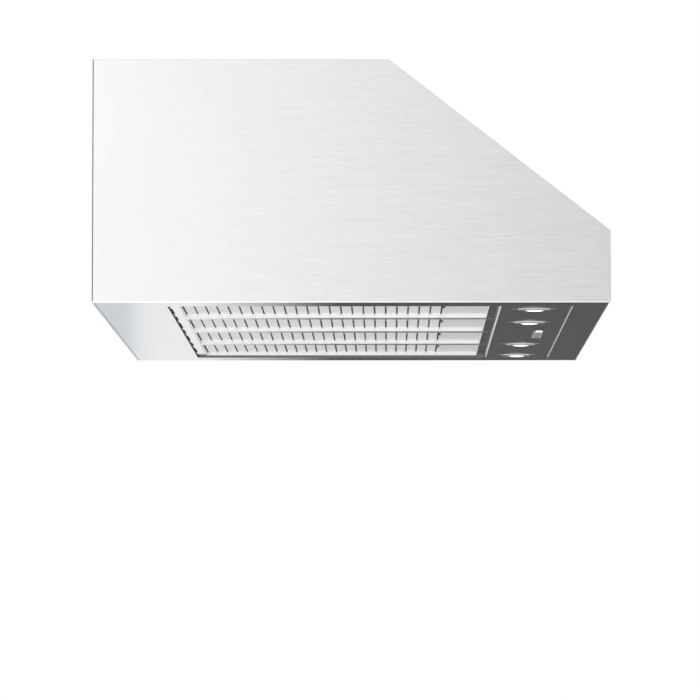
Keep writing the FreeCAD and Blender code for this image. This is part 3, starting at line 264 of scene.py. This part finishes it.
def glowing(name, colour, strength, centre=None, core=0.006, rim=0.0112):
    """Frosted cover lit from behind; with a centre given, brightest there and fading to the rim."""
    material, tree, shader = new_material(name)
    frost = noise(tree, grain_space(tree, (1, 1, 1)), 900, 2, 0.5)
    tree.links.new(colour_mix(tree, frost, tuple(c * 0.92 for c in colour), colour),
                   shader.inputs["Emission Color"])
    tree.links.new(bump(tree, frost, 0.3, 0.00002, 0.0003), shader.inputs["Normal"])
    shader.inputs["Base Color"].default_value = (0.10, 0.10, 0.10, 1)
    shader.inputs["Roughness"].default_value = 0.3
    shader.inputs["Specular IOR Level"].default_value = 0.25
    if centre is None:
        shader.inputs["Emission Strength"].default_value = strength
        return material
    source = tree.nodes.new("ShaderNodeTexCoord")
    away = tree.nodes.new("ShaderNodeVectorMath")
    away.operation = "DISTANCE"
    away.inputs[1].default_value = centre
    tree.links.new(source.outputs["Object"], away.inputs[0])
    fade = tree.nodes.new("ShaderNodeMapRange")
    fade.interpolation_type = "SMOOTHSTEP"
    fade.inputs["From Min"].default_value = core
    fade.inputs["From Max"].default_value = rim
    fade.inputs["To Min"].default_value = strength
    fade.inputs["To Max"].default_value = strength * 0.01
    tree.links.new(away.outputs["Value"], fade.inputs["Value"])
    tree.links.new(fade.outputs["Result"], shader.inputs["Emission Strength"])
    return material


# ---------------------------------------------------------------- materials of the CAD pieces


def finish_of_nodes():
    # Side panel: the dark band along the rear edge is painted shade, and the light band along the
    # bottom edge is a painted highlight.
    side = brushed_steel("side_steel", "y", (0.80, 0.80, 0.80), 0.24, contrast=0.17,
                         edge_radius=SOFT_EDGE,
                         streak_growth=(CASING_HIGH.y, CASING_LOW.y, 0.1, 1.0),
                         bands=(("Y", CASING_HIGH.y - SIDE_REAR_PAINTED_SHADE, "GREATER_THAN", 0.16),
                                ("Z", CASING_LOW.z + SIDE_LOW_PAINTED_HIGHLIGHT, "LESS_THAN", 1.0)))
    # Front canopy, lamp panel and filter frames keep the default upright tone of 0.97, lighter than
    # their level faces: a painted highlight on upright faces.
    front = brushed_steel("front_steel", "x", (0.74, 0.74, 0.74), BRUSHED, edge_radius=SOFT_EDGE,
                          upright=SATIN)
    # Underside pan: the dark band along its rear edge is painted shade, and the dark tone of 0.20 on
    # its upright faces is painted shade on the recess walls.
    under = brushed_steel("underside_steel", "y", (0.74, 0.74, 0.74), SMOOTH, edge_radius=CRISP_EDGE,
                          upright=SATIN, upright_painted_tone=0.20,
                          bands=(("Y", CASING_HIGH.y - PAN_REAR_PAINTED_SHADE, "GREATER_THAN", 0.12),))
    panel = brushed_steel("lamp_panel_steel", "x", (0.74, 0.74, 0.74), BRUSHED,
                          edge_radius=SOFT_EDGE, upright=SATIN)
    frames = brushed_steel("filter_frame_steel", "x", (0.78, 0.78, 0.78), SMOOTH,
                           edge_radius=CRISP_EDGE, upright=SATIN)
    filters = brushed_steel("baffle_steel", "x", (0.74, 0.76, 0.75), 0.46, edge_radius=0.0004)
    plates = brushed_steel("end_plate_steel", "x", (0.65, 0.67, 0.66), 0.46, edge_radius=0.0004)
    galvanised = mottled("galvanised_steel", (0.50, 0.52, 0.54), (0.66, 0.68, 0.70), 0.42, 1.0, 60)
    aluminium = mottled("mill_aluminium", (0.62, 0.63, 0.64), (0.74, 0.75, 0.76), 0.38, 1.0, 30)
    steel_rod = brushed_steel("drawn_rod", "x", (0.62, 0.62, 0.62), 0.28)
    black_paint = mottled("motor_black", (0.012, 0.012, 0.013), (0.03, 0.03, 0.032), 0.42, 0.0, 50)
    zinc = mottled("zinc_screw", (0.55, 0.56, 0.55), (0.75, 0.76, 0.72), 0.3, 1.0, 200)
    nylon = mottled("black_nylon", (0.012, 0.012, 0.012), (0.025, 0.025, 0.026), 0.5, 0.0, 120)
    white_plastic = mottled("driver_plastic", (0.70, 0.70, 0.68), (0.80, 0.80, 0.78), 0.5, 0.0, 60)
    board = mottled("board_laminate", (0.012, 0.09, 0.035), (0.02, 0.14, 0.05), 0.35, 0.0, 300)
    sheath = mottled("cable_sheath", (0.015, 0.015, 0.016), (0.03, 0.03, 0.03), 0.55, 0.0, 200)
    strip_low, strip_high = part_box("control_bezel")
    bezel = mottled("bezel_silver", (0.74, 0.75, 0.76), (0.82, 0.83, 0.84), 0.28, 0.6, 150,
                    bands=(("Y", strip_low.y + STRIP_BORDER, "LESS_THAN", BORDER_TINT),
                           ("Y", strip_high.y - STRIP_BORDER, "GREATER_THAN", BORDER_TINT),
                           ("X", strip_low.x + STRIP_END_BORDER, "LESS_THAN", BORDER_TINT),
                           ("X", strip_high.x - STRIP_END_BORDER, "GREATER_THAN", BORDER_TINT)))
    key = mottled("key_grey", (0.28, 0.29, 0.30), (0.34, 0.35, 0.36), 0.35, 0.0, 200, coat=0.4)
    # Lamp trims: faces set up into the underside get a painted shade of 0.10, and upright faces a dark
    # tone of 0.16, both painted shade in the lamp recess.
    trim = brushed_steel("lamp_trim_steel", "x", (0.74, 0.74, 0.74), BRUSHED, edge_radius=0.0002,
                         upright=0.4, upright_painted_tone=0.16,
                         bands=(("Z", UNDERSIDE - TRIM_PAINTED_SHADE_DEPTH, "GREATER_THAN", 0.10),))
    display = glowing("display_glow", (0.92, 0.96, 1.0), 1.6)
    chosen = {
        "side_panel_left": side, "side_panel_right": side, "front_canopy": front,
        "back_panel": galvanised, "top_panel": side, "underside_pan": under, "lamp_panel": panel,
        "duct_collar": galvanised, "damper_rod": steel_rod, "damper_flap_front": aluminium,
        "damper_flap_rear": aluminium, "scroll_wrap": galvanised, "blower_side_left": galvanised,
        "blower_side_right": galvanised, "blower_wheel": aluminium, "motor_shaft": steel_rod,
        "motor": black_paint, "motor_bracket": galvanised, "motor_bolts": zinc, "blower_screws": zinc,
        "junction_box": galvanised, "junction_box_cover": galvanised, "cable_gland": nylon,
        "led_driver": white_plastic, "capacitor": black_paint, "wiring_harness": sheath,
        "control_board": board, "control_bezel": bezel, "display_window": display,
        "lamp_housings": aluminium,
    }
    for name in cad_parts:
        if name.startswith("lamp_lens_"):
            low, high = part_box(name)
            centre = ((low.x + high.x) / 2, (low.y + high.y) / 2, low.z)
            chosen[name] = glowing(f"{name}_glow", (1.0, 0.96, 0.90), 3.0, centre)
    families = {"filter_frame_": frames, "filter_end_plate_": plates, "filter_": filters,
                "lamp_trim_": trim, "control_key_": key}
    for name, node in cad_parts.items():
        material = chosen.get(name)
        for prefix, shared in families.items():
            if material is None and name.startswith(prefix):
                material = shared
        node.data.materials.clear()
        node.data.materials.append(material)


# ---------------------------------------------------------------- studio


def reflection_card(name, corners, stops):
    """A flat card that only shows in reflections; its brightness runs through stops along Y."""
    mesh = bpy.data.meshes.new(name)
    mesh.from_pydata(corners, [], [(0, 1, 2, 3)])
    card = bpy.data.objects.new(name, mesh)
    bpy.context.scene.collection.objects.link(card)
    material, tree, shader = new_material(name)
    source = tree.nodes.new("ShaderNodeTexCoord")
    split = tree.nodes.new("ShaderNodeSeparateXYZ")
    tree.links.new(source.outputs["Object"], split.inputs["Vector"])
    start, end = stops[0][0], stops[-1][0]
    along = tree.nodes.new("ShaderNodeMapRange")
    along.inputs["From Min"].default_value = start
    along.inputs["From Max"].default_value = end
    tree.links.new(split.outputs["Y"], along.inputs["Value"])
    colours = tree.nodes.new("ShaderNodeValToRGB")
    bands = colours.color_ramp.elements
    while len(bands) < len(stops):
        bands.new(0.5)
    for band, (spot, colour) in zip(bands, stops):
        band.position = (spot - start) / (end - start)
        band.color = (*(channel / CARD_TOP for channel in colour), 1)
    tree.links.new(along.outputs["Result"], colours.inputs["Fac"])
    tree.links.new(colours.outputs["Color"], shader.inputs["Emission Color"])
    shader.inputs["Emission Strength"].default_value = CARD_TOP
    shader.inputs["Base Color"].default_value = (0, 0, 0, 1)
    shader.inputs["Roughness"].default_value = 1.0
    shader.inputs["Specular IOR Level"].default_value = 0.0
    mesh.materials.append(material)
    card.visible_camera = False
    card.visible_shadow = False
    card.visible_diffuse = False


def wall_corners(first, second, low, high):
    """Corners of an upright card between two (x, y) points."""
    return [(*first, low), (*second, low), (*second, high), (*first, high)]


def studio():
    world = bpy.data.worlds.new("studio")
    world.use_nodes = True
    world.node_tree.nodes["Background"].inputs["Color"].default_value = (1, 1, 1, 1)
    world.node_tree.nodes["Background"].inputs["Strength"].default_value = 1.0
    bpy.context.scene.world = world
    bpy.context.scene.view_settings.view_transform = "Standard"
    floor_level = UNDERSIDE - FLOOR_DROP
    card_foot = UNDERSIDE - CARD_DROP
    reach = FLOOR_REACH
    mesh = bpy.data.meshes.new("floor")
    mesh.from_pydata([(-reach, -reach, floor_level), (reach, -reach, floor_level),
                      (reach, reach, floor_level), (-reach, reach, floor_level)], [], [(0, 1, 2, 3)])
    floor = bpy.data.objects.new("floor", mesh)
    bpy.context.scene.collection.objects.link(floor)
    mesh.materials.append(mottled("floor_pale", (0.90, 0.90, 0.90), (0.94, 0.94, 0.94), 0.8, scale=2))
    # What the flat underside mirrors: dim near the wall, bright, then fading to dark at the front.
    dark = (0.085, 0.085, 0.086)
    reflection_card("far_card", wall_corners((10, 6), (10, -9), card_foot, UNDERSIDE - FAR_CARD_DROP), (
        (-9, dark), (0.03, dark), (0.25, (0.45, 0.455, 0.46)), (0.48, (0.90, 0.905, 0.91)),
        (0.66, (0.90, 0.905, 0.91)), (0.72, (0.65, 0.69, 0.715)), (6, (0.61, 0.65, 0.68))))
    # What the side panel mirrors: a slow fall in brightness towards the front.
    reflection_card("near_card", wall_corners((-12, -7), (-12, 7), card_foot, 8), (
        (-7, (0.26, 0.26, 0.26)), (-3.3, (0.24, 0.24, 0.24)), (2.2, (1.54, 1.54, 1.54)),
        (7, (1.55, 1.55, 1.55))))
    # A low lit card brightens the upright lips of the filter frames.
    low, half = UNDERSIDE - LOW_CARD_DROP, LOW_CARD_HALF
    corners = [(-3.0, -half, low), (-1.2, -half, low), (-1.2, half, low), (-3.0, half, low)]
    reflection_card("low_card", corners, ((-half, LOW_CARD_GLOW), (half, LOW_CARD_GLOW)))
    # Dark cards beside the set give the panel its thin grey outlines.
    grey = (0.22, 0.22, 0.22)
    reflection_card("wall_card", wall_corners((-7, 5), (1, 5), card_foot, 4), ((4, grey), (6, grey)))
    reflection_card("front_card", wall_corners((-7, -6), (1, -6), card_foot, 4),
                    ((-7, grey), (-5, grey)))


def camera():
    lens = bpy.data.cameras.new("camera")
    lens.lens = CAMERA_LENS
    lens.sensor_width = SENSOR
    lens.clip_end = 200
    holder = bpy.data.objects.new("camera", lens)
    holder.location = (LEFT_FACE - CAMERA_AHEAD, CAMERA_FROM_ORIGIN, UNDERSIDE - CAMERA_BELOW)
    sight = Vector((math.cos(CAMERA_PITCH) * math.cos(CAMERA_YAW),
                    math.cos(CAMERA_PITCH) * math.sin(CAMERA_YAW), math.sin(CAMERA_PITCH)))
    holder.rotation_euler = sight.to_track_quat("-Z", "Y").to_euler()
    bpy.context.scene.collection.objects.link(holder)
    bpy.context.scene.camera = holder


finish_of_nodes()
studio()
camera()
